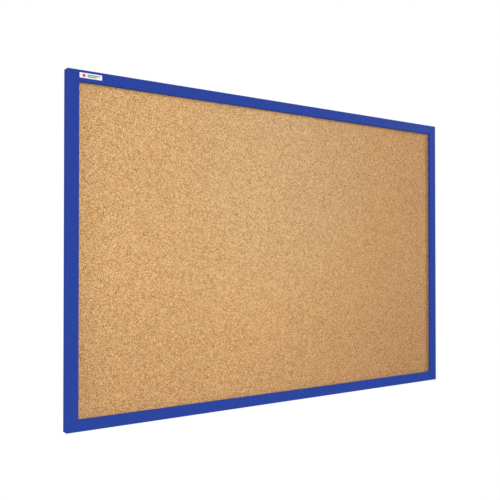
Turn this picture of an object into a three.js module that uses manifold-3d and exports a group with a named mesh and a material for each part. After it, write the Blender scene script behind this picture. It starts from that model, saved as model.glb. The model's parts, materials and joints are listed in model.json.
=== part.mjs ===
// A framed cork bulletin board, hung on a wall by two D-ring hangers. Millimetres, +Z up.
// Seen from the front, +X is to the right, and +Y points from the front of the board to the wall.
// The origin is on the wall's surface, midway between the hinge lines of the two hangers.
import * as THREE from "three";
import { mergeVertices } from "three/addons/utils/BufferGeometryUtils.js";
import Module from "manifold-3d";

const wasm = await Module();
wasm.setup();

// The whole board
const boardWidth = 900;
const boardHeight = 600;
const hangerDrop = 90; // from the top edge down to the hangers' hinge line

// A rail's section: a lip in front of the panel, and a rebate cut from the rear for it
const railWidth = 20;
const lipThickness = 5;
const rebateWidth = 5.5;
const rearRecess = 2.2; // from the panel's back to the frame's rear face
const edgeRadius = 1.4;
const lipEdgeRadius = 0.6;
const mitreGap = 0.15; // the glue line where two rails meet

// The panel: a cork sheet glued to a fibre core, with a hardboard back
const corkThickness = 2.5;
const coreThickness = 5.5;
const backThickness = 2.5;
const glueLine = 0.1;
const panelClearance = 1; // round the panel, inside the rebate

// Corner fasteners: a folded steel chevron, driven in from behind across the mitre
const nailLeg = 5;
const nailThickness = 0.6;
const nailHeight = 7;
const nailInset = 0.3; // below the frame's rear face
const nailCornerDistance = 3.6; // along the mitre, from the outer corner to the outer nail
const nailRebateDistance = 8; // along the mitre, from the inner nail to the rebate
const pocketClearance = 0.15; // round a fastener that is driven into wood

// Steel points driven into the rebate's wall, over the panel's back
const pointWidth = 8;
const pointDriven = 7;
const pointFree = 8;
const pointTip = 3;
const pointThickness = 0.5;
const pointCornerRadius = 1.5;
const pointClearance = 0.3; // over the panel's back
const pointEndMargin = 55; // from a rail's end to its first point
const pointsOnLongRail = 4;
const pointsOnShortRail = 3;

// D-ring hangers
const strapWidth = 6;
const strapLayer = 0.7; // the strap is one strip folded into two layers
const strapSeat = 0.1; // between the strap and the wood
const strapLength = 13.2; // from the hinge line to the strap's lower end
const strapLayerStep = 1; // how far the folded layer stops short of the other
const ringWire = 1.8; // diameter
const ringWidth = 12;
const ringSide = 5.8; // from the hinge line to where the bow starts
const ringCornerRadius = 1.5;
const ringButtGap = 0.5; // between the wire's two ends, inside the knuckle
const ringPlay = 0.2; // round the wire, inside the knuckle
const ringRest = 0.3; // between the hanging ring and the strap
const ringSteps = 56;

// The hanger's pan-head screw
const screwDrop = 6; // below the hinge line
const headRadius = 2.8;
const headHeight = 1.7;
const shankRadius = 1.4;
const shankLength = 10;
const screwTip = 2.5;
const recessSpan = 3.2;
const recessWidth = 0.7;
const recessDepth = 0.9;
const seatClearance = 0.1;
const wallClearance = 0.3; // between the hangers' knuckles and the wall

// Bumpers behind the lower corners
const bumperRadius = 5;
const bumperFaceRadius = 3.7;
const bumperSkirt = 1.2;
const bumperRise = 26; // from the bottom edge up to a bumper's centre

// The label on the top rail, its left end in line with the opening
const labelLength = 39.6;
const labelHeight = 8.7;
const labelThickness = 0.15;
const labelRadius = 1.2;
const labelDrop = 8.9; // from the top edge down to the label's centre
const labelGap = 0.05;

// Depths, counted from the frame's front face
const corkFront = lipThickness + glueLine;
const coreFront = corkFront + corkThickness + glueLine;
const backFront = coreFront + coreThickness + glueLine;
const panelBack = backFront + backThickness;
const frameDepth = panelBack + rearRecess;

// Widths across a rail
const rearWidth = railWidth - rebateWidth;
const panelWidth = boardWidth - 2 * (rearWidth + panelClearance);
const panelHeight = boardHeight - 2 * (rearWidth + panelClearance);

// The hanger's knuckle, and how far the resting ring leans out over the strap's two layers
const wireRadius = ringWire / 2;
const knuckleInner = wireRadius + ringPlay;
const knuckleOuter = knuckleInner + strapLayer;
const strapTop = strapSeat + 2 * strapLayer;
const hingeHeight = strapSeat + knuckleOuter;
const bowRadius = (ringWidth - ringWire) / 2;
const ringReach = ringSide + bowRadius;
const ringLean = Math.asin((strapTop + wireRadius + ringRest - hingeHeight) / ringReach);

// From the frame's rear face to the wall: the bumpers are as thick as this
const wallGap = hingeHeight + knuckleOuter + wallClearance;

const quarter = Math.PI / 2;

const finishes = {
  blueFrame: { color: 0x30479c, roughness: 0.45, metalness: 0 },
  cork: { color: 0xd2a774, roughness: 0.95, metalness: 0 },
  softboard: { color: 0xb59a78, roughness: 1, metalness: 0 },
  hardboard: { color: 0x7a5534, roughness: 0.7, metalness: 0 },
  zincSteel: { color: 0xb9bcc0, roughness: 0.35, metalness: 1 },
  darkSteel: { color: 0x54575c, roughness: 0.5, metalness: 1 },
  rubber: { color: 0xd9d9d4, roughness: 0.6, metalness: 0 },
  paper: { color: 0xe9ecec, roughness: 0.6, metalness: 0 },
};

// A closed geometry as a solid, with its shared corners merged and its collapsed triangles left out.
function solidOf(geometry) {
  const bare = new THREE.BufferGeometry();
  bare.setAttribute("position", geometry.getAttribute("position").clone());
  bare.setIndex(geometry.index && geometry.index.clone());
  const merged = mergeVertices(bare, 1e-4);
  const corners = [];
  for (let i = 0; i < merged.index.count; i += 3) {
    const [a, b, c] = merged.index.array.subarray(i, i + 3);
    if (a !== b && b !== c && c !== a) corners.push(a, b, c);
  }
  return new wasm.Manifold(
    new wasm.Mesh({
      numProp: 3,
      vertProperties: merged.getAttribute("position").array,
      triVerts: new Uint32Array(corners),
    }),
  );
}

// A solid as a geometry.
function geometryOf(solid) {
  const { vertProperties, triVerts } = solid.getMesh();
  const geometry = new THREE.BufferGeometry();
  geometry.setAttribute("position", new THREE.BufferAttribute(vertProperties, 3));
  geometry.setIndex(new THREE.BufferAttribute(triVerts, 1));
  geometry.computeVertexNormals();
  return geometry;
}

// A named mesh with a finish of its own.
function piece(name, geometry, finish) {
  const material = new THREE.MeshStandardMaterial(finishes[finish]);
  const mesh = new THREE.Mesh(geometryOf(solidOf(geometry)), material);
  mesh.name = name;
  return mesh;
}

// The room that a fastener needs in the rails. It is cut from them at the end, and then taken away.
function pocket(geometry) {
  const mesh = new THREE.Mesh(geometry);
  mesh.userData.isPocket = true;
  return mesh;
}

// A flat outline, drawn in X and Z, that is thick along +Y.
function plate(outline, thickness, curveSegments = 4) {
  const options = { depth: thickness, bevelEnabled: false, curveSegments };
  return new THREE.ExtrudeGeometry(outline, options).rotateX(quarter).translate(0, thickness, 0);
}

// A rectangle about its centre, with round corners.
function roundedRectangle(width, height, radius) {
  const x = width / 2 - radius;
  const y = height / 2 - radius;
  const outline = new THREE.Shape();
  outline.absarc(x, y, radius, 0, quarter);
  outline.absarc(-x, y, radius, quarter, 2 * quarter);
  outline.absarc(-x, -y, radius, 2 * quarter, 3 * quarter);
  outline.absarc(x, -y, radius, 3 * quarter, 4 * quarter);
  return outline;
}

// A rail's section: x runs from the outer edge towards the opening, y from the front to the rear.
function railSection() {
  const section = new THREE.Shape();
  section.moveTo(edgeRadius, 0);
  section.absarc(railWidth - lipEdgeRadius, lipEdgeRadius, lipEdgeRadius, -quarter, 0);
  section.lineTo(railWidth, lipThickness);
  section.lineTo(rearWidth, lipThickness);
  section.lineTo(rearWidth, frameDepth);
  section.absarc(edgeRadius, frameDepth - edgeRadius, edgeRadius, quarter, 2 * quarter);
  section.absarc(edgeRadius, edgeRadius, edgeRadius, 2 * quarter, 3 * quarter);
  return section;
}

// A mitred rail along X. Its outer edge is at z = 0, and the opening is below it.
function railGeometry(length) {
  const options = { depth: length, bevelEnabled: false, curveSegments: 4 };
  const geometry = new THREE.ExtrudeGeometry(railSection(), options).translate(0, 0, -length / 2);
  const places = geometry.getAttribute("position");
  const halfGap = mitreGap / Math.SQRT2;
  for (let i = 0; i < places.count; i += 1) {
    const end = Math.sign(places.getZ(i));
    places.setXYZ(
      i,
      end * (length / 2 - places.getX(i) - halfGap),
      places.getY(i),
      -places.getX(i),
    );
  }
  return geometry;
}

// The outline of a flexible point: a strip with round corners, and a tip that is driven along +y.
function pointOutline(grow) {
  const half = pointWidth / 2 + grow;
  const corner = half - pointCornerRadius;
  const end = -pointFree - grow;
  const outline = new THREE.Shape();
  outline.absarc(-corner, end + pointCornerRadius, pointCornerRadius, 2 * quarter, 3 * quarter);
  outline.absarc(corner, end + pointCornerRadius, pointCornerRadius, 3 * quarter, 4 * quarter);
  outline.lineTo(half, pointDriven - pointTip + grow);
  outline.lineTo(half / 3, pointDriven + grow);
  outline.lineTo(-half / 3, pointDriven + grow);
  outline.lineTo(-half, pointDriven - pointTip + grow);
  return outline;
}

// One flexible point in the wall of a rail's rebate.
function retainingPoint(name) {
  const group = new THREE.Group();
  const room = pocket(plate(pointOutline(pocketClearance), pointThickness + 2 * pocketClearance));
  room.position.y = -pocketClearance;
  group.add(piece(name, plate(pointOutline(0), pointThickness), "darkSteel"), room);
  return group;
}

// A rail with its flexible points, in the frame of railGeometry.
function rail(side, length, pointCount) {
  const group = new THREE.Group();
  group.add(piece("frame_" + side + "_rail", railGeometry(length), "blueFrame"));
  const reach = length - 2 * pointEndMargin;
  for (let i = 0; i < pointCount; i += 1) {
    const point = retainingPoint("panel_point_" + side + "_" + (i + 1));
    point.position.set(
      reach * (i / (pointCount - 1) - 0.5),
      panelBack + pointClearance,
      -rearWidth,
    );
    group.add(point);
  }
  return group;
}

// The four rails, turned about the board's centre.
function frame() {
  const group = new THREE.Group();
  const sides = ["top", "right", "bottom", "left"];
  sides.forEach((side, i) => {
    const isLong = i % 2 === 0;
    const turn = i * quarter;
    const made = isLong
      ? rail(side, boardWidth, pointsOnLongRail)
      : rail(side, boardHeight, pointsOnShortRail);
    made.rotation.y = turn;
    made.position.set((Math.sin(turn) * boardWidth) / 2, 0, (Math.cos(turn) * boardHeight) / 2);
    group.add(made);
  });
  return group;
}

// A chevron whose point is at the origin and whose legs open towards +x, grown all round.
function chevron(grow) {
  const slope = Math.SQRT1_2;
  const leg = nailLeg + 2 * grow;
  const across = nailThickness + 2 * grow;
  const apex = -grow * Math.SQRT2;
  const outline = new THREE.Shape();
  outline.moveTo(apex, 0);
  outline.lineTo(apex + leg * slope, -leg * slope);
  outline.lineTo(apex + (leg + across) * slope, (across - leg) * slope);
  outline.lineTo(apex + across * Math.SQRT2, 0);
  outline.lineTo(apex + (leg + across) * slope, (leg - across) * slope);
  outline.lineTo(apex + leg * slope, leg * slope);
  return outline;
}

// One corner fastener, with its point at the origin and its top below the frame's rear face.
function cornerNail(name) {
  const group = new THREE.Group();
  const nail = piece(name, plate(chevron(0), nailHeight), "zincSteel");
  nail.position.y = frameDepth - nailInset - nailHeight;
  const room = pocket(plate(chevron(pocketClearance), nailHeight + nailInset + 2 * pocketClearance));
  room.position.y = nail.position.y - pocketClearance;
  group.add(nail, room);
  return group;
}

// Two fasteners on the mitre of every corner.
function cornerNails() {
  const group = new THREE.Group();
  const corners = ["top_left", "top_right", "bottom_right", "bottom_left"];
  const innerNail = rearWidth * Math.SQRT2 - nailRebateDistance;
  corners.forEach((corner, i) => {
    const turn = (i + 0.5) * quarter;
    const made = new THREE.Group();
    const outer = cornerNail("v_nail_" + corner + "_outer");
    const inner = cornerNail("v_nail_" + corner + "_inner");
    outer.position.x = nailCornerDistance;
    inner.position.x = innerNail;
    made.add(outer, inner);
    made.rotation.y = turn;
    made.position.set(
      (-Math.sign(Math.cos(turn)) * boardWidth) / 2,
      0,
      (Math.sign(Math.sin(turn)) * boardHeight) / 2,
    );
    group.add(made);
  });
  return group;
}

// One layer of the panel, at its depth behind the frame's front face.
function panelLayer(name, front, thickness, finish) {
  const layer = piece(name, new THREE.BoxGeometry(panelWidth, thickness, panelHeight), finish);
  layer.position.y = front + thickness / 2;
  return layer;
}

// The strap's side view, as (height above the wood, distance above the hinge line).
function strapProfile() {
  const outline = new THREE.Shape();
  const fold = Math.asin((strapTop - hingeHeight) / knuckleOuter);
  outline.moveTo(strapSeat, -strapLength);
  outline.absarc(hingeHeight, 0, knuckleOuter, 2 * quarter, quarter, true);
  outline.absarc(hingeHeight, 0, knuckleOuter, quarter, 0, true);
  outline.absarc(hingeHeight, 0, knuckleOuter, 0, fold - quarter, true);
  outline.lineTo(strapTop, strapLayerStep - strapLength);
  outline.lineTo(strapTop - strapLayer, strapLayerStep - strapLength);
  outline.lineTo(strapTop - strapLayer, -strapLength);
  outline.holes.push(new THREE.Path().absarc(hingeHeight, 0, knuckleInner, 0, 4 * quarter));
  return outline;
}

// The folded strap, with a round lower end and a hole for its screw.
function strapGeometry() {
  const folded = new THREE.ExtrudeGeometry(strapProfile(), {
    depth: strapWidth,
    bevelEnabled: false,
    curveSegments: 6,
  }).translate(0, 0, -strapWidth / 2);
  const [x, y, z] = [0, 1, 2].map((axis) => new THREE.Vector3().setComponent(axis, 1));
  folded.applyMatrix4(new THREE.Matrix4().makeBasis(y, z, x));
  const upperHeight = knuckleOuter + strapLength;
  const endOutline = roundedRectangle(strapWidth, 2 * upperHeight, strapWidth / 2);
  const ends = plate(endOutline, 4 * knuckleOuter, 6).translate(0, -knuckleOuter, upperHeight - strapLength);
  const hole = new THREE.CylinderGeometry(
    shankRadius + 2 * pocketClearance,
    shankRadius + 2 * pocketClearance,
    4 * knuckleOuter,
    20,
  ).translate(0, 0, -screwDrop);
  return geometryOf(solidOf(folded).intersect(solidOf(ends)).subtract(solidOf(hole)));
}

// A flat path, drawn in X and Z, as a curve in space.
class FlatCurve extends THREE.Curve {
  constructor(path) {
    super();
    this.path = path;
  }

  getPoint(t, target = new THREE.Vector3()) {
    const { x, y } = this.path.getPointAt(t);
    return target.set(x, 0, y);
  }
}

// The wire of a D-ring, from one end in the knuckle round the bow to the other.
function ringGeometry() {
  const corner = bowRadius - ringCornerRadius;
  const path = new THREE.Path();
  path.moveTo(ringButtGap / 2, 0);
  path.lineTo(corner, 0);
  path.absarc(corner, -ringCornerRadius, ringCornerRadius, quarter, 0, true);
  path.lineTo(bowRadius, -ringSide);
  path.absarc(0, -ringSide, bowRadius, 0, -2 * quarter, true);
  path.lineTo(-bowRadius, -ringCornerRadius);
  path.absarc(-corner, -ringCornerRadius, ringCornerRadius, 2 * quarter, quarter, true);
  path.lineTo(-ringButtGap / 2, 0);
  const wire = new THREE.Shape().absarc(0, 0, wireRadius, 0, 4 * quarter);
  return new THREE.ExtrudeGeometry(wire, {
    steps: ringSteps,
    curveSegments: 5,
    bevelEnabled: false,
    extrudePath: new FlatCurve(path),
  });
}

// A pan-head screw along Y, its head's underside at y = 0 and a cross recess in its top.
function screwGeometry() {
  const profile = new THREE.Path();
  profile.moveTo(0, -shankLength);
  profile.lineTo(shankRadius, screwTip - shankLength);
  profile.lineTo(shankRadius, 0);
  profile.lineTo(headRadius, 0);
  profile.lineTo(headRadius, headHeight / 3);
  profile.quadraticCurveTo(headRadius, headHeight, headRadius / 2, headHeight);
  profile.lineTo(0, headHeight);
  const body = new THREE.LatheGeometry(profile.getPoints(4), 20);
  const arms = [0, quarter].map((turn) => {
    const arm = new THREE.BoxGeometry(recessSpan, 2 * recessDepth, recessWidth).rotateY(turn);
    return solidOf(arm.translate(0, headHeight, 0));
  });
  return geometryOf(solidOf(body).subtract(arms[0]).subtract(arms[1]));
}

// One hanger on the frame's rear face, its hinge line through the origin's height.
function hanger(side) {
  const group = new THREE.Group();
  const strap = piece("hanger_" + side + "_strap", strapGeometry(), "zincSteel");
  const ring = piece("hanger_" + side + "_ring", ringGeometry(), "zincSteel");
  ring.position.y = hingeHeight;
  ring.rotation.x = ringLean;
  const screw = piece("hanger_" + side + "_screw", screwGeometry(), "zincSteel");
  screw.position.set(0, strapTop + seatClearance, -screwDrop);
  const holeRadius = shankRadius + pocketClearance;
  const room = pocket(new THREE.CylinderGeometry(holeRadius, holeRadius, 2 * shankLength, 20));
  room.position.set(0, strapTop, -screwDrop);
  group.add(strap, ring, screw, room);
  return group;
}

// A soft dome with a flat face that touches the wall.
function bumperGeometry() {
  const profile = new THREE.Path();
  profile.moveTo(0, seatClearance);
  profile.lineTo(bumperRadius, seatClearance);
  profile.lineTo(bumperRadius, bumperSkirt);
  profile.quadraticCurveTo(bumperRadius, wallGap, bumperFaceRadius, wallGap);
  profile.lineTo(0, wallGap);
  return new THREE.LatheGeometry(profile.getPoints(5), 28);
}

// The hangers and bumpers on the rear faces of the two side rails.
function sideRailHardware() {
  const group = new THREE.Group();
  for (const [side, hand] of [["left", -1], ["right", 1]]) {
    const across = hand * (boardWidth / 2 - rearWidth / 2);
    const made = hanger(side);
    made.position.set(across, frameDepth, boardHeight / 2 - hangerDrop);
    const bumper = piece("bumper_" + side, bumperGeometry(), "rubber");
    bumper.position.set(across, frameDepth, bumperRise - boardHeight / 2);
    group.add(made, bumper);
  }
  return group;
}

// The label, just in front of the top rail's face.
function label() {
  const outline = roundedRectangle(labelLength, labelHeight, labelRadius);
  const mesh = piece("label", plate(outline, labelThickness), "paper");
  mesh.position.set(
    railWidth - boardWidth / 2 + labelLength / 2,
    -labelGap - labelThickness,
    boardHeight / 2 - labelDrop,
  );
  return mesh;
}

// Cuts every pocket from each rail that it reaches, and then takes the pockets away.
function cutPockets(board) {
  board.updateMatrixWorld(true);
  const rooms = [];
  const rails = [];
  board.traverse((object) => {
    if (object.userData.isPocket) rooms.push(object);
    if (object.name.endsWith("_rail")) rails.push(object);
  });
  const placed = (mesh) => mesh.geometry.clone().applyMatrix4(mesh.matrixWorld);
  const cutters = rooms.map((room) => solidOf(placed(room)));
  for (const wood of rails) {
    const cut = cutters.reduce((solid, cutter) => solid.subtract(cutter), solidOf(placed(wood)));
    wood.geometry = geometryOf(cut).applyMatrix4(wood.matrixWorld.clone().invert());
  }
  rooms.forEach((room) => room.removeFromParent());
}

// The board is made about the centre of its front face, and then moved to hang from the origin.
function bulletinBoard() {
  const board = new THREE.Group();
  board.add(
    frame(),
    panelLayer("cork_sheet", corkFront, corkThickness, "cork"),
    panelLayer("softboard_core", coreFront, coreThickness, "softboard"),
    panelLayer("hardboard_back", backFront, backThickness, "hardboard"),
    cornerNails(),
    sideRailHardware(),
    label(),
  );
  cutPockets(board);
  board.position.set(0, -wallGap - frameDepth, hangerDrop - boardHeight / 2);
  const root = new THREE.Group();
  root.add(board);
  return root;
}

export default bulletinBoard();
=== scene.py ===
"""A framed cork bulletin board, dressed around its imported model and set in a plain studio.

Metres, +Z up. Seen from the front, +X is to the right and +Y points to the wall.
"""

import json
import logging
import math
from dataclasses import dataclass
from enum import Enum

import bpy
from mathutils import Matrix, Vector, noise


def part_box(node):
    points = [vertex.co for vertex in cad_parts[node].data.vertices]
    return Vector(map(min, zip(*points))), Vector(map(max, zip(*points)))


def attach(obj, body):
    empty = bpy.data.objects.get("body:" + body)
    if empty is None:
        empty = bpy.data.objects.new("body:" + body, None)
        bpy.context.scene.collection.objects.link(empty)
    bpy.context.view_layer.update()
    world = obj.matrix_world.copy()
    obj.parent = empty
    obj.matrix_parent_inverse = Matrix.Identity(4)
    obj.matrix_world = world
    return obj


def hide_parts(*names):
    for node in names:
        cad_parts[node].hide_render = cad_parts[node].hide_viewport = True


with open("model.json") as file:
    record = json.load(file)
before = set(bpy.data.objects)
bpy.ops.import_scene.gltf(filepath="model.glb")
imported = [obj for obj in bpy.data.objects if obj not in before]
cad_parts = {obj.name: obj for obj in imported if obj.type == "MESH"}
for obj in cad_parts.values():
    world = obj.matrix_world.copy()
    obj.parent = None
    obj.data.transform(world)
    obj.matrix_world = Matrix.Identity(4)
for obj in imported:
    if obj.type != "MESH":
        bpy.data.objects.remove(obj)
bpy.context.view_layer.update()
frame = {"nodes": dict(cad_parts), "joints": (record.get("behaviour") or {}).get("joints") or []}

MM = 0.001
BOARD_BODY = "board"
LOG = logging.getLogger("bulletin_board")

Colour = tuple[float, float, float]


# ---------------------------------------------------------------- shader maths


class Signal:
    """An output socket that Python's operators turn into Math nodes of its tree."""

    def __init__(self, bench: "Bench", socket: bpy.types.NodeSocket) -> None:
        """Wraps one output socket of the bench's tree."""
        self.bench = bench
        self.socket = socket

    def _maths(self, operation: str, *terms: "Signal | float") -> "Signal":
        """Adds one Math node.

        Args:
            operation: The node's operation.
            terms: The values or links of its sockets, in order.

        Returns:
            The node's result.
        """
        inputs = dict(enumerate(terms))
        return self.bench.get("ShaderNodeMath", "Value", {"operation": operation}, inputs)

    def __add__(self, other: "Signal | float") -> "Signal":
        """self + other."""
        return self._maths("ADD", self, other)

    def __radd__(self, other: float) -> "Signal":
        """other + self."""
        return self._maths("ADD", other, self)

    def __sub__(self, other: "Signal | float") -> "Signal":
        """self - other."""
        return self._maths("SUBTRACT", self, other)

    def __rsub__(self, other: float) -> "Signal":
        """other - self."""
        return self._maths("SUBTRACT", other, self)

    def __mul__(self, other: "Signal | float") -> "Signal":
        """self * other."""
        return self._maths("MULTIPLY", self, other)

    def __rmul__(self, other: float) -> "Signal":
        """other * self."""
        return self._maths("MULTIPLY", other, self)

    def __truediv__(self, other: "Signal | float") -> "Signal":
        """self / other."""
        return self._maths("DIVIDE", self, other)

    def __pow__(self, other: float) -> "Signal":
        """self to the power of other."""
        return self._maths("POWER", self, other)

    def __abs__(self) -> "Signal":
        """The size of self, without its sign."""
        return self._maths("ABSOLUTE", self)

    def __gt__(self, other: "Signal | float") -> "Signal":
        """1 where self is greater than other, and 0 elsewhere."""
        return self._maths("GREATER_THAN", self, other)

    def least(self, other: "Signal | float") -> "Signal":
        """The smaller of self and other."""
        return self._maths("MINIMUM", self, other)

    def most(self, other: "Signal | float") -> "Signal":
        """The greater of self and other."""
        return self._maths("MAXIMUM", self, other)

    def wave(self, pitch: float) -> "Signal":
        """A sine between -1 and 1 that repeats every pitch metres of self."""
        return self._maths("SINE", self * (2 * math.pi / pitch))

    def rise(self, start: float, end: float) -> "Signal":
        """A smooth step from 0 at start to 1 at end, where end may be below start.

        Args:
            start: The value of self where the step begins.
            end: The value of self where the step is done.

        Returns:
            The step, between 0 and 1.
        """
        low, high = (0.0, 1.0) if start < end else (1.0, 0.0)
        return self.bench.get(
            "ShaderNodeMapRange",
            "Result",
            {"interpolation_type": "SMOOTHSTEP"},
            {
                "Value": self,
                "From Min": min(start, end),
                "From Max": max(start, end),
                "To Min": low,
                "To Max": high,
            },
        )


class Bench:
    """A node tree, and the one way in which nodes are put into it."""

    def __init__(self, tree: bpy.types.NodeTree) -> None:
        """Clears the tree, ready for new nodes."""
        self.tree = tree
        self.tree.nodes.clear()

    def put(self, kind: str, settings: dict | None = None, inputs: dict | None = None) -> bpy.types.Node:
        """Adds a node.

        Args:
            kind: The node's type.
            settings: Its own settings, set first. "stops" holds a ramp's (place, colour) pairs.
            inputs: The value or link of each socket, by name or by number.

        Returns:
            The new node.
        """
        node = self.tree.nodes.new(kind)
        for name, value in (settings or {}).items():
            if name == "stops":
                self._set_stops(node, value)
            else:
                setattr(node, name, value)
        for name, value in (inputs or {}).items():
            if isinstance(value, Signal):
                self.tree.links.new(value.socket, node.inputs[name])
            elif isinstance(value, tuple) and node.inputs[name].type == "RGBA":
                node.inputs[name].default_value = (*value, 1.0)
            else:
                node.inputs[name].default_value = value
        return node

    def get(
        self, kind: str, output: str | int, settings: dict | None = None, inputs: dict | None = None
    ) -> Signal:
        """Adds a node, and gives one of its outputs as a signal.

        Args:
            kind: The node's type.
            output: The output, by name or by number.
            settings: Its own settings, as in put.
            inputs: The value or link of each socket, as in put.

        Returns:
            That output.
        """
        return Signal(self, self.put(kind, settings, inputs).outputs[output])

    @staticmethod
    def _set_stops(node: bpy.types.Node, stops: list[tuple[float, Colour]]) -> None:
        """Gives a colour ramp its stops.

        Args:
            node: The ramp.
            stops: (place, colour) pairs, in rising order of place.
        """
        elements = node.color_ramp.elements
        while len(elements) > 1:
            elements.remove(elements[-1])
        elements[0].position = stops[0][0]
        elements[0].color = (*stops[0][1], 1.0)
        for place, colour in stops[1:]:
            elements.new(place).color = (*colour, 1.0)


class Paint(Bench):
    """A material under construction, with the patterns that several finishes share."""

    def __init__(self, name: str) -> None:
        """Starts a material with an empty tree.

        Args:
            name: The material's name.
        """
        self.material = bpy.data.materials.new(name)
        self.material.use_nodes = True
        super().__init__(self.material.node_tree)
        self.place = self.get("ShaderNodeTexCoord", "Object")

    def axes(self) -> tuple[Signal, Signal, Signal]:
        """The x, y and z of the point being shaded, in the part's own frame."""
        x, y, z = self.put("ShaderNodeSeparateXYZ", inputs={0: self.place}).outputs
        return Signal(self, x), Signal(self, y), Signal(self, z)

    def stretched(self, scale: Colour) -> Signal:
        """The place, scaled by its own factor along each axis."""
        settings = {"operation": "MULTIPLY"}
        return self.get("ShaderNodeVectorMath", "Vector", settings, {0: self.place, 1: scale})

    def cloud(self, grain: float, detail: float = 2.0, place: Signal | None = None) -> Signal:
        """Soft noise between 0 and 1.

        Args:
            grain: The size of its lumps, in metres.
            detail: How many finer layers it has.
            place: Where it is read, if not at the point itself.

        Returns:
            The noise.
        """
        inputs = {"Vector": place or self.place, "Scale": 1.0 / grain, "Detail": detail}
        return self.get("ShaderNodeTexNoise", "Fac", inputs=inputs)

    def cells(self, grain: float, place: Signal | None = None) -> tuple[Signal, Signal]:
        """Random cells: a random number for each cell, and the distance to its border.

        Args:
            grain: The size of a cell, in metres.
            place: Where it is read, if not at the point itself.

        Returns:
            The cell's own random number, and the distance to its border in cell sizes.
        """
        inputs = {"Vector": place or self.place, "Scale": 1.0 / grain}
        body = self.get("ShaderNodeTexVoronoi", "Color", {"feature": "F1"}, inputs)
        shade = self.put("ShaderNodeSeparateColor", inputs={0: body})
        border = self.get("ShaderNodeTexVoronoi", "Distance", {"feature": "DISTANCE_TO_EDGE"}, inputs)
        return Signal(self, shade.outputs[0]), border

    def nudged(self, grain: float, reach: float) -> Signal:
        """The place, pushed about by coloured noise so that what is read there has ragged outlines.

        Args:
            grain: The size of the noise, in metres.
            reach: How far a point may be pushed, in metres.

        Returns:
            The pushed place.
        """
        inputs = {"Vector": self.place, "Scale": 1.0 / grain, "Detail": 1.0}
        push = self.get("ShaderNodeTexNoise", "Color", inputs=inputs)
        offset = {0: push, 1: (2 * reach,) * 3, 2: self.place}
        return self.get("ShaderNodeVectorMath", "Vector", {"operation": "MULTIPLY_ADD"}, offset)

    def blend(self, share: Signal, first: "Colour | Signal", second: "Colour | Signal") -> Signal:
        """A colour between two others.

        Args:
            share: How much of the second colour shows, from 0 to 1.
            first: The colour where share is 0.
            second: The colour where share is 1.

        Returns:
            The mixed colour.
        """
        settings = {"data_type": "RGBA", "blend_type": "MIX"}
        return self.get("ShaderNodeMix", 2, settings, {0: share, 6: first, 7: second})

    def shaded(self, colour: "Colour | Signal", brightness: Signal) -> Signal:
        """A colour times a brightness, which may be over 1."""
        settings = {"operation": "SCALE"}
        return self.get("ShaderNodeVectorMath", "Vector", settings, {0: colour, "Scale": brightness})

    def tinted(self, first: Signal, second: Signal) -> Signal:
        """One colour times another, channel by channel."""
        settings = {"operation": "MULTIPLY"}
        return self.get("ShaderNodeVectorMath", "Vector", settings, {0: first, 1: second})

    def relief(self, height: Signal, depth: float, strength: float = 1.0) -> Signal:
        """A normal that stands for a height map.

        Args:
            height: The height, between 0 and 1.
            depth: What a height of 1 is, in metres.
            strength: How much of it shows, up to 1.

        Returns:
            The normal.
        """
        inputs = {"Height": height, "Distance": depth, "Strength": strength}
        return self.get("ShaderNodeBump", "Normal", inputs=inputs)

    def surface(self, inputs: dict) -> Signal:
        """A Principled surface with these sockets."""
        return self.get("ShaderNodeBsdfPrincipled", 0, inputs=inputs)

    def done(self, shader: Signal) -> bpy.types.Material:
        """Links the finished shader, and gives the material."""
        self.put("ShaderNodeOutputMaterial", inputs={0: shader})
        return self.material


# ---------------------------------------------------------------- the board's own sizes


@dataclass(frozen=True)
class BoardPlan:
    """Where the frame's edges and faces are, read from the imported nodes."""

    left: float
    right: float
    bottom: float
    top: float
    front: float
    lip: float

    @classmethod
    def read(cls) -> "BoardPlan":
        """Measures the four rails and the cork sheet.

        Returns:
            The plan.
        """
        left_rail, right_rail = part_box("frame_left_rail"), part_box("frame_right_rail")
        bottom_rail, top_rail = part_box("frame_bottom_rail"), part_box("frame_top_rail")
        return cls(
            left=left_rail[0].x,
            right=right_rail[1].x,
            bottom=bottom_rail[0].z,
            top=top_rail[1].z,
            front=top_rail[0].y,
            lip=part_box("cork_sheet")[0].y - top_rail[0].y,
        )

    @property
    def centre(self) -> Vector:
        """The middle of the frame's front face."""
        return Vector(((self.left + self.right) / 2, self.front, (self.bottom + self.top) / 2))

    @property
    def half_width(self) -> float:
        """Half of the frame's width."""
        return (self.right - self.left) / 2

    @property
    def half_height(self) -> float:
        """Half of the frame's height."""
        return (self.top - self.bottom) / 2


# ---------------------------------------------------------------- finishes


class Run(Enum):
    """Which way a rail runs, and so its fibres and its foil's print: stretches along X and Z."""

    ACROSS = (0.06, 1.0)
    UPRIGHT = (1.0, 0.06)


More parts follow.
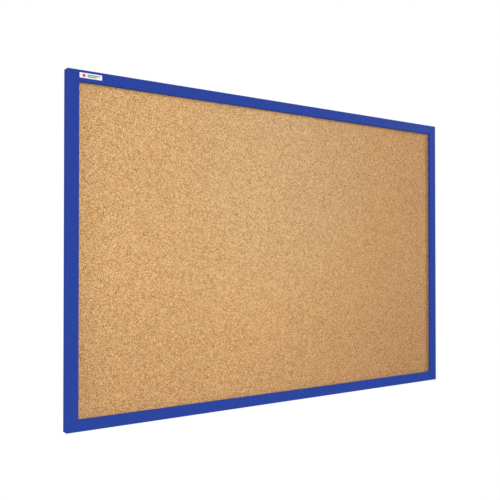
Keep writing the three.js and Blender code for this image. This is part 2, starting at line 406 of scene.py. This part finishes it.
@dataclass(frozen=True)
class RailFinish:
    """Blue foil wrapped over a fibreboard rail, whose rear face and rebate are left bare."""

    run: Run
    foil: Colour = (0.0226, 0.0540, 0.3060)
    scuffed: Colour = (0.075, 0.13, 0.47)
    foil_turn: float = 2.2 * MM
    foil_wander: float = 0.9 * MM
    foil_below_lip: float = 0.3 * MM
    cut_edge: float = 0.15 * MM
    bare: Colour = (0.43, 0.29, 0.165)
    bare_dark: Colour = (0.26, 0.155, 0.08)

    def make(self, plan: BoardPlan) -> bpy.types.Material:
        """Builds the material for rails that run this way.

        Args:
            plan: The board's sizes, which say where the foil ends.

        Returns:
            The material.
        """
        paint = Paint(f"rail_foil_{self.run.name.lower()}")
        x, y, z = paint.axes()
        centre = plan.centre
        from_side = plan.half_width - abs(x - centre.x)
        from_ends = plan.half_height - abs(z - centre.z)
        inward = from_side.least(from_ends)
        depth = y - plan.front
        wander = (paint.cloud(9 * MM) - 0.5) * self.foil_wander
        turned = (self.foil_turn + wander - inward).rise(0, self.cut_edge)
        wrapped = (plan.lip + self.foil_below_lip - depth > 0).most(turned)
        arris = (inward + depth).rise(1.6 * MM, 0.5 * MM)
        layers = {0: wrapped, 1: self._fibre(paint), 2: self._foil(paint, arris)}
        return paint.done(paint.get("ShaderNodeMixShader", 0, inputs=layers))

    def _foil(self, paint: Paint, arris: Signal) -> Signal:
        """The printed foil, a little scuffed along its outer arris.

        Args:
            paint: The material under construction.
            arris: 1 on the outer arris, falling to 0 beside it.

        Returns:
            The shader.
        """
        along, up = self.run.value
        drawn = paint.cloud(1.4 * MM, 3.0, paint.stretched((along, 1.0, up)))
        mottled = paint.cloud(60 * MM, 2.0)
        peel = paint.cloud(0.9 * MM, 1.0)
        scuff = arris * paint.cloud(2.5 * MM, 3.0).rise(0.56, 0.70) * 0.35
        brightness = 0.945 + 0.07 * drawn + 0.04 * mottled
        return paint.surface(
            {
                "Base Color": paint.blend(scuff, paint.shaded(self.foil, brightness), self.scuffed),
                "Roughness": 0.46 + 0.10 * drawn + 0.15 * scuff,
                "Specular IOR Level": 0.02,
                "Normal": paint.relief(0.6 * drawn + 0.4 * peel, 0.03 * MM, 0.6),
            }
        )

    def _fibre(self, paint: Paint) -> Signal:
        """Sawn fibreboard, with fine streaks along the rail and darker flecks.

        Args:
            paint: The material under construction.

        Returns:
            The shader.
        """
        along, up = self.run.value
        streak = paint.cloud(0.8 * MM, 4.0, paint.stretched((along, 1.0, up)))
        fleck = paint.cloud(0.45 * MM, 3.0).rise(0.60, 0.74)
        stain = paint.cloud(45 * MM, 3.0)
        dark = (0.75 * streak + 0.35 * stain + 0.4 * fleck).rise(0.35, 1.05)
        return paint.surface(
            {
                "Base Color": paint.blend(dark, self.bare, self.bare_dark),
                "Roughness": 0.86,
                "Specular IOR Level": 0.25,
                "Normal": paint.relief(0.7 * streak + 0.3 * fleck, 0.10 * MM, 0.6),
            }
        )


@dataclass(frozen=True)
class CorkFinish:
    """Ground cork pressed into a sheet: tan granules of several sizes, bark flecks, seams and pits."""

    granule: float = 0.92 * MM
    chip: float = 1.7 * MM
    crumb: float = 0.45 * MM
    bark: Colour = (0.074, 0.029, 0.010)
    brown: Colour = (0.300, 0.109, 0.028)
    tan: Colour = (0.680, 0.364, 0.130)
    pale: Colour = (0.915, 0.632, 0.333)
    # Tints of the painted pool of light above the middle and of the painted shade to the right and below,
    # and the height of that pool above the centre.
    painted_light_tint: Colour = (0.955, 1.010, 1.090)
    painted_shade_tint: Colour = (1.000, 0.935, 0.930)
    plain: Colour = (1.0, 1.0, 1.0)
    light_pool_height: float = 170 * MM

    def make(self, plan: BoardPlan) -> bpy.types.Material:
        """Builds the material.

        Args:
            plan: The board's sizes, which the painted light and shade over the sheet follow.

        Returns:
            The material.
        """
        paint = Paint("pressed_cork")
        ragged = paint.nudged(0.9 * MM, 0.45 * MM)
        shade, seam = paint.cells(self.granule, ragged)
        chip_shade, chip_seam = paint.cells(self.chip, ragged)
        crumb = paint.cloud(self.crumb, 3.0)
        is_chip = chip_shade.rise(0.68, 0.70)
        tone = shade + is_chip * (chip_shade * 1.4 - 0.75 - shade)
        border = seam + is_chip * (chip_seam * 2.0 - seam)
        tone = tone * 0.86 + crumb * 0.46 - 0.16
        stops = [(0.00, self.bark), (0.16, self.brown), (0.42, self.tan), (0.80, self.pale)]
        colour = paint.get("ShaderNodeValToRGB", "Color", {"stops": stops}, {0: tone})
        seam_dark = border.rise(0.0, 0.10)
        pit = paint.cloud(2.2 * MM, 2.0, ragged).rise(0.70, 0.76)
        # The seams are dark joints. The pits are darkened by painted shade in their hollows.
        brightness = (0.84 + 0.16 * seam_dark) * (1 - 0.45 * pit)
        height = 0.35 * seam_dark + 0.30 * shade + 0.35 * crumb - 0.8 * pit
        grain = paint.shaded(colour, brightness)
        return paint.done(
            paint.surface(
                {
                    # The base colour carries painted light and painted shade over the whole sheet.
                    "Base Color": paint.tinted(self._tone_and_painted_light_over_sheet(paint, plan), grain),
                    "Roughness": 0.92,
                    "Specular IOR Level": 0.12,
                    "Normal": paint.relief(height, 0.35 * MM, 0.55),
                }
            )
        )

    def _tone_and_painted_light_over_sheet(self, paint: Paint, plan: BoardPlan) -> Signal:
        """Painted light and shade over the sheet, with a slow random change in tone: a painted pool of
        light above its middle, and painted shade to the right and below.

        Args:
            paint: The material under construction.
            plan: The board's sizes.

        Returns:
            A colour that the grain is multiplied by.
        """
        x, _, z = paint.axes()
        across, up = x - plan.centre.x, z - plan.centre.z
        # Masks of painted shade: towards the right, towards the bottom, and a painted pool of light above
        # the middle.
        right = across.rise(-0.12, plan.half_width)
        below = up.rise(0.02, -plan.half_height)
        middle = (across**2 + (up - self.light_pool_height) ** 2).rise(0.09, 0.0)
        cloudy = paint.cloud(180 * MM, 2.0)
        # A slow random change in tone, times painted shade that darkens the sheet to the right and below.
        brightness = (0.95 + 0.06 * cloudy) * (1 - 0.235 * right) * (1 - 0.12 * below)
        # Painted light: paler and bluer in the pool above the middle. Painted shade: redder to the right
        # and below.
        tint = paint.tinted(
            paint.blend(middle, self.plain, self.painted_light_tint),
            paint.blend(0.8 * right + 0.6 * below, self.plain, self.painted_shade_tint),
        )
        return paint.shaded(tint, brightness)


@dataclass(frozen=True)
class HardboardFinish:
    """The screened side of hardboard: brown, mottled, with the print of a wire mesh."""

    brown: Colour = (0.235, 0.118, 0.052)
    dark: Colour = (0.120, 0.056, 0.024)
    pale: Colour = (0.360, 0.205, 0.100)
    mesh_pitch: float = 1.6 * MM

    def make(self) -> bpy.types.Material:
        """Builds the material.

        Returns:
            The material.
        """
        paint = Paint("screened_hardboard")
        x, _, z = paint.axes()
        wires = 0.5 + 0.25 * x.wave(self.mesh_pitch) + 0.25 * z.wave(self.mesh_pitch)
        stain = paint.cloud(70 * MM, 4.0)
        fibre = paint.cloud(1.1 * MM, 4.0, paint.nudged(3 * MM, 2 * MM))
        fleck = paint.cloud(0.9 * MM, 2.0).rise(0.66, 0.74)
        dark = (0.30 * stain + 0.80 * fibre).rise(0.36, 0.78)
        mottled = paint.blend(dark, self.pale, self.brown)
        colour = paint.blend(fleck * 0.7, mottled, self.dark)
        return paint.done(
            paint.surface(
                {
                    "Base Color": paint.shaded(colour, 0.86 + 0.20 * wires),
                    "Roughness": 0.62 + 0.18 * fibre,
                    "Specular IOR Level": 0.30,
                    "Normal": paint.relief(0.6 * wires + 0.4 * fibre, 0.16 * MM, 0.6),
                }
            )
        )


@dataclass(frozen=True)
class SoftboardFinish:
    """Low-density fibreboard: felted pale fibres."""

    pale: Colour = (0.47, 0.34, 0.20)
    dark: Colour = (0.30, 0.20, 0.11)

    def make(self) -> bpy.types.Material:
        """Builds the material.

        Returns:
            The material.
        """
        paint = Paint("felted_softboard")
        felt = paint.cloud(1.6 * MM, 5.0, paint.nudged(4 * MM, 3 * MM))
        return paint.done(
            paint.surface(
                {
                    "Base Color": paint.blend(felt.rise(0.35, 0.70), self.pale, self.dark),
                    "Roughness": 0.95,
                    "Normal": paint.relief(felt, 0.4 * MM, 0.7),
                }
            )
        )


@dataclass(frozen=True)
class SteelFinish:
    """Plated or blued steel, with rolled streaks and small tarnished patches."""

    name: str
    colour: Colour
    tarnish: Colour
    roughness: float

    def make(self) -> bpy.types.Material:
        """Builds the material.

        Returns:
            The material.
        """
        paint = Paint(self.name)
        streak = paint.cloud(0.25 * MM, 3.0, paint.stretched((1.0, 1.0, 0.12)))
        patch = paint.cloud(2.4 * MM, 3.0).rise(0.55, 0.75)
        return paint.done(
            paint.surface(
                {
                    "Base Color": paint.blend(0.55 * patch, self.colour, self.tarnish),
                    "Metallic": 1.0 - 0.25 * patch,
                    "Roughness": self.roughness + 0.14 * streak + 0.16 * patch,
                    "Normal": paint.relief(streak, 0.012 * MM, 0.5),
                }
            )
        )


@dataclass(frozen=True)
class BumperFinish:
    """Milky soft plastic with a faint moulded texture and a little dust."""

    body: Colour = (0.66, 0.66, 0.62)
    dusty: Colour = (0.585, 0.58, 0.54)

    def make(self) -> bpy.types.Material:
        """Builds the material.

        Returns:
            The material.
        """
        paint = Paint("soft_bumper")
        dust = paint.cloud(1.3 * MM, 3.0)
        return paint.done(
            paint.surface(
                {
                    "Base Color": paint.blend(dust.rise(0.45, 0.75), self.body, self.dusty),
                    "Roughness": 0.34 + 0.30 * dust,
                    "Normal": paint.relief(dust, 0.03 * MM, 0.5),
                }
            )
        )


@dataclass(frozen=True)
class LabelFinish:
    """White film with a plain red dot and two grey rules, and no lettering."""

    film: Colour = (0.80, 0.835, 0.83)
    dot: Colour = (0.74, 0.045, 0.075)
    rule: Colour = (0.075, 0.080, 0.115)
    dot_place: float = 7.8 * MM
    dot_radius: float = 2.7 * MM
    rule_start: float = 14.0 * MM
    upper_rule_end: float = 36.0 * MM
    lower_rule_end: float = 30.0 * MM
    rule_offset: float = 1.35 * MM
    rule_half: float = 0.75 * MM
    ink_edge: float = 0.08 * MM

    def make(self) -> bpy.types.Material:
        """Builds the material, with its print placed from the label's own box.

        Returns:
            The material.
        """
        paint = Paint("printed_label")
        low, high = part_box("label")
        x, _, z = paint.axes()
        along = x - low.x
        up = z - (low.z + high.z) / 2
        from_dot = ((along - self.dot_place) ** 2 + up**2) ** 0.5
        dot = (from_dot - self.dot_radius).rise(self.ink_edge, 0.0)
        upper = self._rule(along, up - self.rule_offset, self.upper_rule_end)
        lower = self._rule(along, up + self.rule_offset, self.lower_rule_end)
        printed = paint.blend(upper.most(lower), self.film, self.rule)
        gloss = paint.cloud(4 * MM, 2.0)
        return paint.done(
            paint.surface(
                {
                    "Base Color": paint.blend(dot, printed, self.dot),
                    "Roughness": 0.38 + 0.10 * gloss,
                    "Specular IOR Level": 0.20,
                    "Normal": paint.relief(gloss, 0.03 * MM, 0.4),
                }
            )
        )

    def _rule(self, along: Signal, up: Signal, end: float) -> Signal:
        """One printed line: 1 inside it and 0 outside.

        Args:
            along: The distance from the label's left end.
            up: The distance above the line's middle.
            end: Where the line stops.

        Returns:
            The line's mask.
        """
        within = (along - self.rule_start).rise(0.0, self.ink_edge) * (end - along).rise(0.0, self.ink_edge)
        return within * (self.rule_half - abs(up)).rise(0.0, self.ink_edge)


# ---------------------------------------------------------------- mesh work


def add_object(name: str, mesh: bpy.types.Mesh) -> bpy.types.Object:
    """Puts a mesh into the scene as an object at the origin.

    Args:
        name: The object's name.
        mesh: Its mesh, whose points are already in place.

    Returns:
        The object.
    """
    made = bpy.data.objects.new(name, mesh)
    bpy.context.scene.collection.objects.link(made)
    return made


def dress(piece: bpy.types.Object, material: bpy.types.Material) -> None:
    """Gives a piece its one material."""
    piece.data.materials.clear()
    piece.data.materials.append(material)


def soften(piece: bpy.types.Object, width: float, segments: int = 2) -> None:
    """Rounds a piece's sharp edges, and smooths its shading between them.

    Args:
        piece: The object.
        width: The width of the rounding, in metres.
        segments: How many faces make it up.
    """
    piece.data.shade_smooth()
    bevel = piece.modifiers.new("soft_edges", "BEVEL")
    bevel.width = width
    bevel.segments = segments
    bevel.limit_method = "ANGLE"
    bevel.angle_limit = math.radians(32)
    bevel.harden_normals = True
    bevel.use_clamp_overlap = True


def revolve(
    name: str, profile: list[tuple[float, float]], centre: Vector, sides: int = 64
) -> bpy.types.Object:
    """A round piece about an axis along Y.

    Args:
        name: The piece's name.
        profile: (radius, y) pairs from the first pole to the last, both at radius 0.
        centre: The point that the profile's y is counted from.
        sides: How many steps the circle has.

    Returns:
        The object.
    """
    rings = profile[1:-1]
    points = [centre + Vector((0, profile[0][1], 0)), centre + Vector((0, profile[-1][1], 0))]
    for radius, y in rings:
        for i in range(sides):
            turn = 2 * math.pi * i / sides
            points.append(centre + Vector((radius * math.cos(turn), y, radius * math.sin(turn))))
    faces = []
    for i in range(sides):
        j = (i + 1) % sides
        faces.append((0, 2 + i, 2 + j))
        last = 2 + (len(rings) - 1) * sides
        faces.append((1, last + j, last + i))
        for k in range(len(rings) - 1):
            base = 2 + k * sides
            faces.append((base + i, base + sides + i, base + sides + j, base + j))
    mesh = bpy.data.meshes.new(name)
    mesh.from_pydata(points, [], faces)
    mesh.validate()
    mesh.shade_smooth()
    return add_object(name, mesh)


def wire(name: str, path: list[Vector], radius: float, sides: int = 20) -> bpy.types.Object:
    """A round wire along an open path that lies in one plane, with flat ends.

    Args:
        name: The piece's name.
        path: The points of its centre line.
        radius: The wire's radius.
        sides: How many sides it has.

    Returns:
        The object.
    """
    plane = (path[len(path) // 2] - path[0]).cross(path[-1] - path[len(path) // 4]).normalized()
    points, faces = [], []
    for i, point in enumerate(path):
        ahead = (path[min(i + 1, len(path) - 1)] - path[max(i - 1, 0)]).normalized()
        across = plane.cross(ahead)
        for k in range(sides):
            turn = 2 * math.pi * k / sides
            points.append(point + radius * (math.cos(turn) * across + math.sin(turn) * plane))
    for i in range(len(path) - 1):
        for k in range(sides):
            a, b = i * sides + k, i * sides + (k + 1) % sides
            faces.append((a, b, b + sides, a + sides))
    faces.append(tuple(reversed(range(sides))))
    faces.append(tuple(range((len(path) - 1) * sides, len(path) * sides)))
    mesh = bpy.data.meshes.new(name)
    mesh.from_pydata(points, [], faces)
    mesh.validate()
    mesh.shade_smooth()
    return add_object(name, mesh)


def arc(centre: Vector, start: Vector, axis: Vector, degrees: float, steps: int) -> list[Vector]:
    """Points of an arc.

    Args:
        centre: The arc's centre.
        start: Its first point.
        axis: The direction that it turns about.
        degrees: How far it turns.
        steps: How many straight steps make it up.

    Returns:
        The points, with the first and the last.
    """
    turns = [math.radians(degrees) * i / steps for i in range(steps + 1)]
    return [centre + Matrix.Rotation(turn, 3, axis) @ (start - centre) for turn in turns]


class Facing(Enum):
    """Which side of a panel layer shows: where its relief is, and which way its face looks."""

    FRONT = -1
    REAR = 1


@dataclass(frozen=True)
class PanelLayer:
    """One sheet of the panel: a closed slab whose showing side is slightly uneven."""

    node: str
    name: str
    facing: Facing
    step: float
    unevenness: float
    lump: float

    def build(self) -> bpy.types.Object:
        """Builds the slab inside its node's box, pressed in from the showing side.

        Returns:
            The slab.
        """
        low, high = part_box(self.node)
        across = max(2, round((high.x - low.x) / self.step))
        up = max(2, round((high.z - low.z) / self.step))
        points = []
        for is_back in (False, True):
            for k in range(up + 1):
                for i in range(across + 1):
                    x = low.x + (high.x - low.x) * i / across
                    z = low.z + (high.z - low.z) * k / up
                    points.append(self._point(x, z, is_back, low, high))
        mesh = bpy.data.meshes.new(self.name)
        mesh.from_pydata(points, [], self._faces(across, up))
        mesh.validate()
        mesh.shade_smooth()
        made = add_object(self.name, mesh)
        mesh.set_sharp_from_angle(angle=math.radians(40))
        return made

    def _point(self, x: float, z: float, is_back: bool, low: Vector, high: Vector) -> Vector:
        """One point of the showing side, or of the flat side behind it.

        Args:
            x: Its place across the sheet.
            z: Its place up the sheet.
            is_back: Whether it is on the flat side.
            low: The lowest corner of the sheet's box.
            high: The highest corner.

        Returns:
            The point.
        """
        showing, hidden = (low.y, high.y) if self.facing is Facing.FRONT else (high.y, low.y)
        if is_back:
            return Vector((x, hidden, z))
        lumps = 0.5 + 0.5 * noise.noise(Vector((x, 0.0, z)) / self.lump)
        inward = -self.facing.value * self.unevenness * min(1.0, max(0.0, lumps))
        return Vector((x, showing + inward, z))

    def _faces(self, across: int, up: int) -> list[tuple[int, ...]]:
        """The quads of both sides and of the four edges, facing out.

        Args:
            across: How many quads there are across the sheet.
            up: How many there are up it.

        Returns:
            The faces, as the numbers of their points.
        """
        row = across + 1
        side = row * (up + 1)
        faces: list[tuple[int, ...]] = []
        for k in range(up):
            for i in range(across):
                a = k * row + i
                faces.append((a, a + 1, a + row + 1, a + row))
                faces.append((side + a, side + a + row, side + a + row + 1, side + a + 1))
        rim = list(range(across))
        rim += [across + k * row for k in range(up)]
        rim += [up * row + i for i in range(across, 0, -1)]
        rim += [k * row for k in range(up, 0, -1)]
        for a, b in zip(rim, rim[1:] + rim[:1]):
            faces.append((b, a, side + a, side + b))
        if self.facing is Facing.REAR:
            faces = [tuple(reversed(face)) for face in faces]
        return faces


# ---------------------------------------------------------------- sub-assemblies


@dataclass
class Frame:
    """The four mitred rails, carried over from the model."""

    arris: float = 0.12 * MM

    def build(self, plan: BoardPlan) -> list[bpy.types.Object]:
        """Softens the rails' edges and wraps them in their foil.

        Args:
            plan: The board's sizes.

        Returns:
            The rails.
        """
        finishes = {run: RailFinish(run).make(plan) for run in Run}
        runs = {"top": Run.ACROSS, "bottom": Run.ACROSS, "left": Run.UPRIGHT, "right": Run.UPRIGHT}
        rails = []
        for side, run in runs.items():
            rail = frame["nodes"][f"frame_{side}_rail"]
            soften(rail, self.arris)
            dress(rail, finishes[run])
            rails.append(rail)
        return rails


@dataclass
class Panel:
    """The cork, its soft core and its hardboard back."""

    cork: PanelLayer = PanelLayer(
        node="cork_sheet",
        name="cork_face",
        facing=Facing.FRONT,
        step=4.5 * MM,
        unevenness=0.12 * MM,
        lump=22 * MM,
    )
    back: PanelLayer = PanelLayer(
        node="hardboard_back",
        name="hardboard_panel",
        facing=Facing.REAR,
        step=9 * MM,
        unevenness=0.18 * MM,
        lump=70 * MM,
    )

    def build(self, plan: BoardPlan) -> list[bpy.types.Object]:
        """Builds the two sheets that show, and dresses the core between them.

        Args:
            plan: The board's sizes.

        Returns:
            The three layers.
        """
        made = []
        for layer, slot, material in (
            (self.cork, "cork", CorkFinish().make(plan)),
            (self.back, "hardboard", HardboardFinish().make()),
        ):
            sheet = layer.build()
            dress(sheet, material)
            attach(sheet, BOARD_BODY)
            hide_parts(layer.node)
            made.append(sheet)
        core = frame["nodes"]["softboard_core"]
        dress(core, SoftboardFinish().make())
        return [*made, core]


@dataclass
class Fasteners:
    """The corner nails and the points behind the panel, carried over from the model."""

    arris: float = 0.08 * MM

    def build(self) -> list[bpy.types.Object]:
        """Softens the fasteners' edges and dresses them in their two kinds of steel.

        Returns:
            The fasteners.
        """
        plated = SteelFinish("plated_nail_steel", (0.42, 0.425, 0.43), (0.25, 0.23, 0.21), 0.50).make()
        blued = SteelFinish("blued_point_steel", (0.20, 0.20, 0.215), (0.12, 0.11, 0.10), 0.46).make()
        made = []
        for name, node in frame["nodes"].items():
            if name.startswith(("v_nail_", "panel_point_")):
                soften(node, self.arris)
                dress(node, plated if name.startswith("v_nail_") else blued)
                made.append(node)
        return made


@dataclass
class Hanger:
    """One D-ring hanger: its folded strap and screw from the model, and a finer ring."""

    side: str
    ring_side: float = 5.8 * MM
    ring_corner: float = 1.5 * MM
    ring_gap: float = 0.5 * MM
    arris: float = 0.10 * MM

    def build(self, steel: bpy.types.Material) -> list[bpy.types.Object]:
        """Dresses the strap and the screw, and bends the ring from wire.

        Args:
            steel: The hanger's finish.

        Returns:
            The strap, the screw and the ring.
        """
        fixed = [frame["nodes"][f"hanger_{self.side}_{part}"] for part in ("strap", "screw")]
        for piece in fixed:
            soften(piece, self.arris)
            dress(piece, steel)
        ring = self._ring()
        dress(ring, steel)
        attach(ring, f"{self.side}_ring")
        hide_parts(f"hanger_{self.side}_ring")
        return [*fixed, ring]

    def _ring(self) -> bpy.types.Object:
        """The ring, hanging from its hinge line and leaning on the strap as it does in the model.

        Returns:
            The ring.
        """
        joint = next(j for j in frame["joints"] if j["name"] == f"{self.side}_ring_swing")
        hinge = Vector(joint["pos_m"])
        low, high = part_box(f"hanger_{self.side}_ring")
        radius = high.z - hinge.z
        reach = (high.x - low.x) / 2 - radius
        drop = hinge.z - low.z - radius
        lean = math.acos(drop / (self.ring_side + reach))
        outline = self._outline(reach)
        turn = Matrix.Rotation(lean, 3, "X")
        path = [hinge + turn @ point for point in outline]
        return wire(f"d_ring_{self.side}", path, radius)

    def _outline(self, reach: float) -> list[Vector]:
        """The ring's centre line in its own plane.

        Args:
            reach: How far it goes to either side of its middle.

        Returns:
            Its points, from one end of the wire to the other.
        """
        corner = self.ring_corner
        side = self.ring_side
        axis = Vector((0, 1, 0))
        end = self.ring_gap / 2
        right = [Vector((end + (reach - corner - end) * i / 4, 0, 0)) for i in range(4)]
        right += arc(Vector((reach - corner, 0, -corner)), Vector((reach - corner, 0, 0)), axis, 90, 8)
        right += [Vector((reach, 0, -corner - (side - corner) * i / 4)) for i in range(1, 4)]
        right += arc(Vector((0, 0, -side)), Vector((reach, 0, -side)), axis, 90, 16)
        left = [Vector((-point.x, 0, point.z)) for point in reversed(right[:-1])]
        return right + left


@dataclass
class Bumper:
    """A soft dome with a flat face, behind a lower corner."""

    side: str
    face_share: float = 0.74
    skirt: float = 1.1 * MM
    fillet: float = 0.25 * MM
    dome_steps: int = 12

    def build(self, material: bpy.types.Material) -> bpy.types.Object:
        """Turns the dome inside its node's box.

        Args:
            material: The bumper's finish.

        Returns:
            The dome.
        """
        node = f"bumper_{self.side}"
        low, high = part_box(node)
        radius = (high.x - low.x) / 2
        height = high.y - low.y
        profile = [(0.0, 0.0), (radius - self.fillet, 0.0), (radius, self.fillet), (radius, self.skirt)]
        face = radius * self.face_share
        for i in range(1, self.dome_steps + 1):
            turn = math.pi / 2 * i / self.dome_steps
            out = face + (radius - face) * math.cos(turn)
            profile.append((out, self.skirt + (height - self.skirt) * math.sin(turn)))
        profile += [(face / 2, height), (0.0, height)]
        centre = Vector(((low.x + high.x) / 2, low.y, (low.z + high.z) / 2))
        made = revolve(f"bumper_dome_{self.side}", profile, centre)
        dress(made, material)
        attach(made, BOARD_BODY)
        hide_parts(node)
        return made


# ---------------------------------------------------------------- the studio


@dataclass(frozen=True)
class Softbox:
    """A square light that looks at a point."""

    name: str
    place: Vector
    aim: Vector
    size: float
    watts: float

    def build(self) -> None:
        """Hangs the light."""
        data = bpy.data.lights.new(self.name, "AREA")
        data.shape = "SQUARE"
        data.size = self.size
        data.energy = self.watts
        lamp = bpy.data.objects.new(self.name, data)
        lamp.location = self.place
        lamp.rotation_euler = (self.aim - self.place).to_track_quat("-Z", "Y").to_euler()
        lamp.visible_camera = False
        bpy.context.scene.collection.objects.link(lamp)


@dataclass(frozen=True)
class Studio:
    """A white room with a pale floor, soft light from the front and the right, and the camera."""

    room_colour: Colour = (1.0, 1.0, 1.0)
    ambient: float = 0.13
    floor_drop: float = 0.90
    floor_radius: float = 5.0
    floor_fade_start: float = 0.7
    floor_fade_end: float = 2.0
    floor_sides: int = 96
    floor_colour: Colour = (0.80, 0.80, 0.79)
    lens_mm: float = 50.0
    sensor_mm: float = 36.0
    camera_left: float = 0.8507
    camera_ahead: float = 1.1048
    camera_below: float = 0.0136
    camera_yaw: float = 34.68
    camera_pitch: float = 0.695

    def build(self, plan: BoardPlan) -> None:
        """Sets the room, the floor, the lights and the camera round the board.

        Args:
            plan: The board's sizes.
        """
        view = bpy.context.scene.view_settings
        view.view_transform = "Standard"
        view.look = "None"
        self._room()
        self._floor(plan)
        self._lights(plan)
        self._camera(plan)

    def _room(self) -> None:
        """White where it is looked at, and a weak even light on everything else."""
        world = bpy.data.worlds.new("white_room")
        world.use_nodes = True
        bench = Bench(world.node_tree)
        seen = bench.get("ShaderNodeLightPath", "Is Camera Ray")
        strength = self.ambient + (1.0 - self.ambient) * seen
        inputs = {"Color": self.room_colour, "Strength": strength}
        light = bench.get("ShaderNodeBackground", 0, inputs=inputs)
        bench.put("ShaderNodeOutputWorld", inputs={0: light})
        bpy.context.scene.world = world

    def _floor(self, plan: BoardPlan) -> None:
        """A pale round floor that fades into the room before its edge.

        Args:
            plan: The board's sizes, because the floor is below its lower edge.
        """
        middle = Vector((0, 0, plan.bottom - self.floor_drop))
        points = [middle]
        for i in range(self.floor_sides):
            turn = 2 * math.pi * i / self.floor_sides
            points.append(middle + self.floor_radius * Vector((math.cos(turn), math.sin(turn), 0)))
        faces = [(0, 1 + i, 1 + (i + 1) % self.floor_sides) for i in range(self.floor_sides)]
        mesh = bpy.data.meshes.new("floor")
        mesh.from_pydata(points, [], faces)
        floor = add_object("floor", mesh)
        paint = Paint("pale_floor")
        x, y, _ = paint.axes()
        shown = ((x**2 + y**2) ** 0.5).rise(self.floor_fade_end, self.floor_fade_start)
        matt = paint.surface({"Base Color": self.floor_colour, "Roughness": 0.9})
        layers = {0: shown, 1: paint.get("ShaderNodeBsdfTransparent", 0), 2: matt}
        dress(floor, paint.done(paint.get("ShaderNodeMixShader", 0, inputs=layers)))

    def _lights(self, plan: BoardPlan) -> None:
        """A large key in front, lights at both sides, one behind the board and one above it.

        Args:
            plan: The board's sizes, because each light is placed from the middle of the frame's face.
        """
        for name, offset, size, watts in (
            ("key", (-0.6, -3.9, 0.5), 4.2, 94),
            ("right_side", (6.2, -3.0, 2.9), 2.6, 500),
            ("left_side", (-3.2, -0.45, 0.2), 1.0, 66),
            ("back", (1.4, 3.0, 1.2), 3.4, 125),
            ("above", (0.0, 0.1, 3.0), 1.6, 16),
        ):
            Softbox(name, plan.centre + Vector(offset), plan.centre, size, watts).build()

    def _camera(self, plan: BoardPlan) -> None:
        """Stands to the left of the board at its mid-height, turned a little less than straight at it.

        Args:
            plan: The board's sizes.
        """
        data = bpy.data.cameras.new("camera")
        data.lens = self.lens_mm
        data.sensor_width = self.sensor_mm
        camera = bpy.data.objects.new("camera", data)
        camera.location = plan.centre + Vector((-self.camera_left, -self.camera_ahead, -self.camera_below))
        camera.rotation_euler = (math.radians(90 + self.camera_pitch), 0.0, math.radians(-self.camera_yaw))
        bpy.context.scene.collection.objects.link(camera)
        bpy.context.scene.camera = camera


# ---------------------------------------------------------------- putting it together


def main() -> None:
    """Builds and dresses the board from the frame inwards, and then sets the studio."""
    logging.basicConfig(level=logging.INFO, format="%(message)s")
    plan = BoardPlan.read()
    pieces = Frame().build(plan)
    pieces += Panel().build(plan)
    pieces += Fasteners().build()
    hanger_steel = SteelFinish("zinc_plate", (0.70, 0.71, 0.72), (0.45, 0.45, 0.43), 0.22).make()
    bumper_plastic = BumperFinish().make()
    for side in ("left", "right"):
        pieces += Hanger(side).build(hanger_steel)
        pieces.append(Bumper(side).build(bumper_plastic))
    label = frame["nodes"]["label"]
    dress(label, LabelFinish().make())
    pieces.append(label)
    for piece in pieces:
        LOG.info("piece %s: %d faces", piece.name, len(piece.data.polygons))
    Studio().build(plan)


if __name__ == "__main__":
    main()
